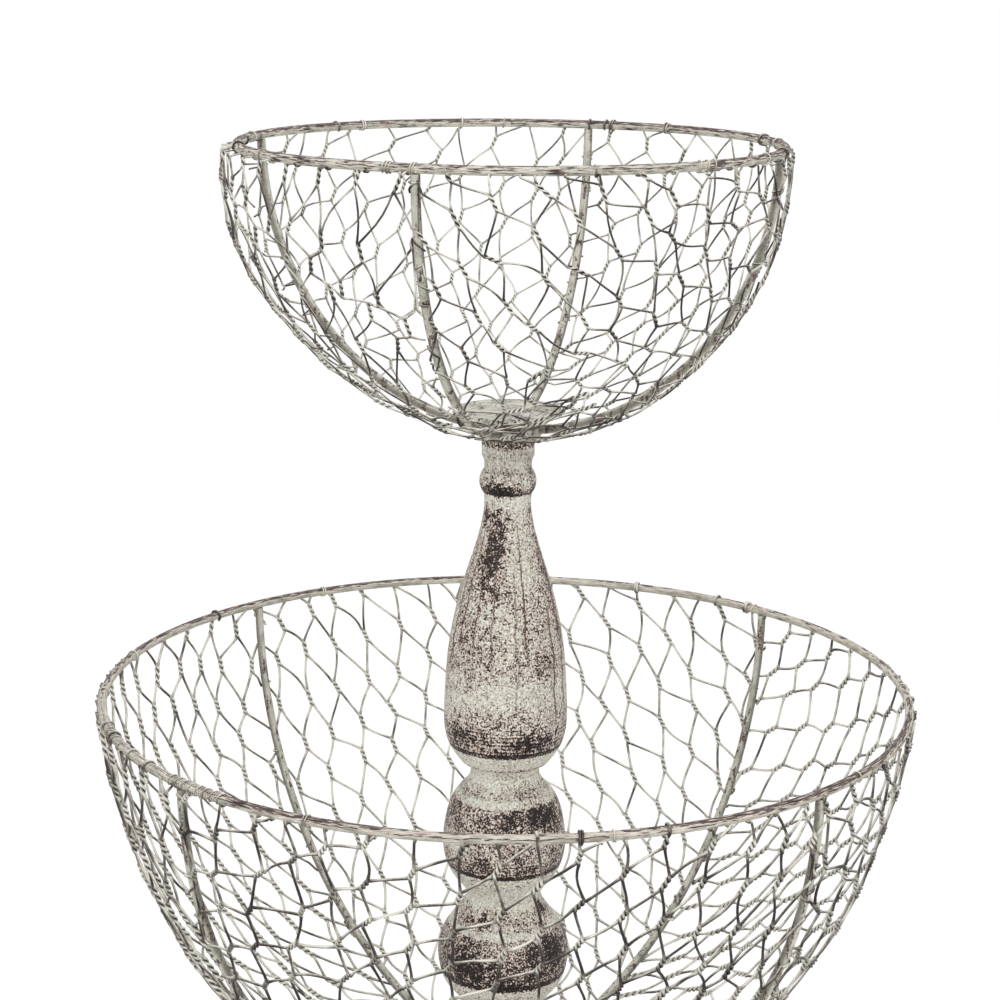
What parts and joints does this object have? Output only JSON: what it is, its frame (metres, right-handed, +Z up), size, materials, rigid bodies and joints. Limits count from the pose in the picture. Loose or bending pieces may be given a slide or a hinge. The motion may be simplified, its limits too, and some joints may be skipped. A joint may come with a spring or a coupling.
{
  "type": "tiered wire basket",
  "caption": "Two-tier stand with wire netting bowls on round wire ribs and rims, carried one above the other by a turned wooden spindle and foot.",
  "frame": {"origin": "on the floor, at the middle of the foot, on the spindle's axis", "axes": "+Z up along the spindle; -Y is the front, seen by the picture's camera; +X is right in that view"},
  "size_m": [0.3801, 0.3802, 0.515],
  "materials": {
    "wood": "turned wood, whitewashed and rubbed back to dark wood on the edges",
    "painted_frame": "matt grey-green cream paint, rubbed through to dark brown on the rims",
    "netting_wire": "galvanised wire with thin cream paint over dark brown",
    "zinc_steel": "zinc plated",
    "felt": "dense felt"
  },
  "bodies": {
    "stand": {"foot_felt": "felt", "foot": "wood", "base_washer": "zinc_steel", "base_nut": "zinc_steel", "tie_rod": "zinc_steel", "lower_turning_washer": "zinc_steel", "spindle_lower_ball": "wood", "spindle_upper_ball": "wood", "spindle_vase": "wood", "upper_turning_washer": "zinc_steel", "floor_disc": "painted_frame"},
    "lower_basket": {"lower_rim": "painted_frame", "lower_rib_1": "painted_frame", "lower_rib_2": "painted_frame", "lower_rib_3": "painted_frame", "lower_rib_4": "painted_frame", "lower_hub": "painted_frame", "lower_rim_ties": "netting_wire", "lower_netting": "netting_wire"},
    "upper_basket": {"upper_rim": "painted_frame", "upper_rib_1": "painted_frame", "upper_rib_2": "painted_frame", "upper_rib_3": "painted_frame", "upper_rib_4": "painted_frame", "upper_hub": "painted_frame", "upper_rim_ties": "netting_wire", "upper_netting": "netting_wire"}
  },
  "joints": [
    {"name": "lower_basket_turn", "type": "hinge", "parent": "stand", "child": "lower_basket", "pos_m": [0, 0, 0.0654], "axis": [0, 0, 1], "continuous": true},
    {"name": "upper_basket_turn", "type": "hinge", "parent": "stand", "child": "upper_basket", "pos_m": [0, 0, 0.3838], "axis": [0, 0, 1], "continuous": true}
  ]
}
